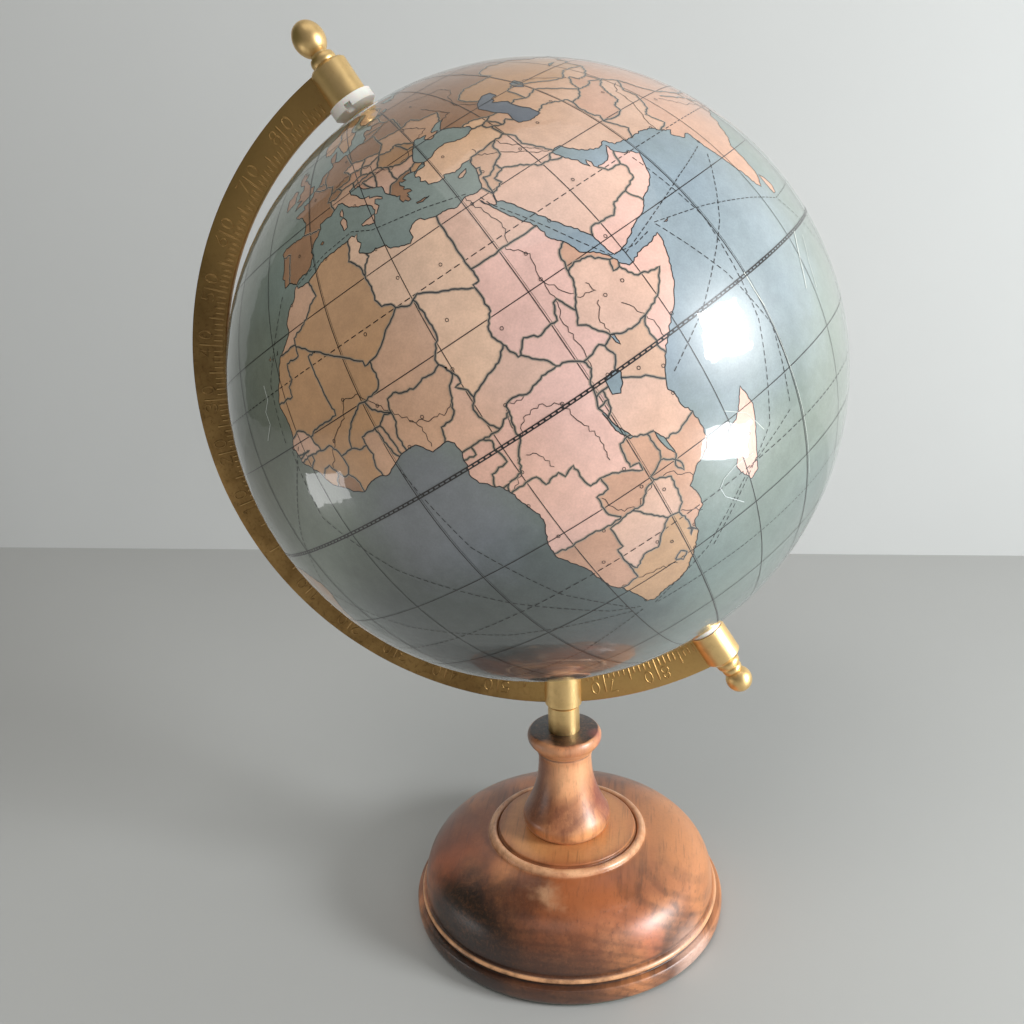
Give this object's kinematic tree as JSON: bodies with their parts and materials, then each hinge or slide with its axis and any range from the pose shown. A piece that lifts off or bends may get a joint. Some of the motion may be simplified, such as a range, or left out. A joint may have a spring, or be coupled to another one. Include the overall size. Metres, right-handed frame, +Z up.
{
  "type": "desktop globe",
  "caption": "Desktop globe: a world-map ball that turns on a tilted axis in a graduated half-meridian arm, on a turned wooden stand with a brass post.",
  "frame": {"origin": "centre of the felt's underside, on the post's axis, on the surface that the globe stands on", "axes": "+Z up along the post; the meridian arm lies in the X-Z plane with the north end of the polar axis leaning towards -X; -Y is the front of the scale"},
  "size_m": [0.2194, 0.2, 0.3158],
  "materials": {
    "stained_wood": "satin lacquer",
    "felt": "matt felt",
    "antique_brass": "aged satin",
    "satin_brass": "satin",
    "steel": "bright drawn",
    "white_nylon": "moulded",
    "pressed_board": "raw",
    "printed_map": "varnished print"
  },
  "bodies": {
    "stand": {"wooden_base": "stained_wood", "felt_pad": "felt", "pedestal": "stained_wood", "post_ferrule": "satin_brass", "slotted_head": "satin_brass", "tie_bolt": "steel", "bolt_washer": "steel", "bolt_nut": "steel", "meridian_arm": "antique_brass", "north_sleeve": "satin_brass", "south_sleeve": "satin_brass", "north_finial": "satin_brass", "south_finial": "satin_brass", "axle_rod": "steel"},
    "ball": {"northern_shell": "printed_map", "southern_shell": "printed_map", "joining_ring": "pressed_board", "north_eyelet": "satin_brass", "south_eyelet": "satin_brass", "north_bearing": "white_nylon", "south_bearing": "white_nylon"}
  },
  "joints": [
    {"name": "globe_spin", "type": "hinge", "parent": "stand", "child": "ball", "pos_m": [-0.00633, 0, 0.20066], "axis": [-0.5324, 0, 0.8465], "continuous": true}
  ]
}
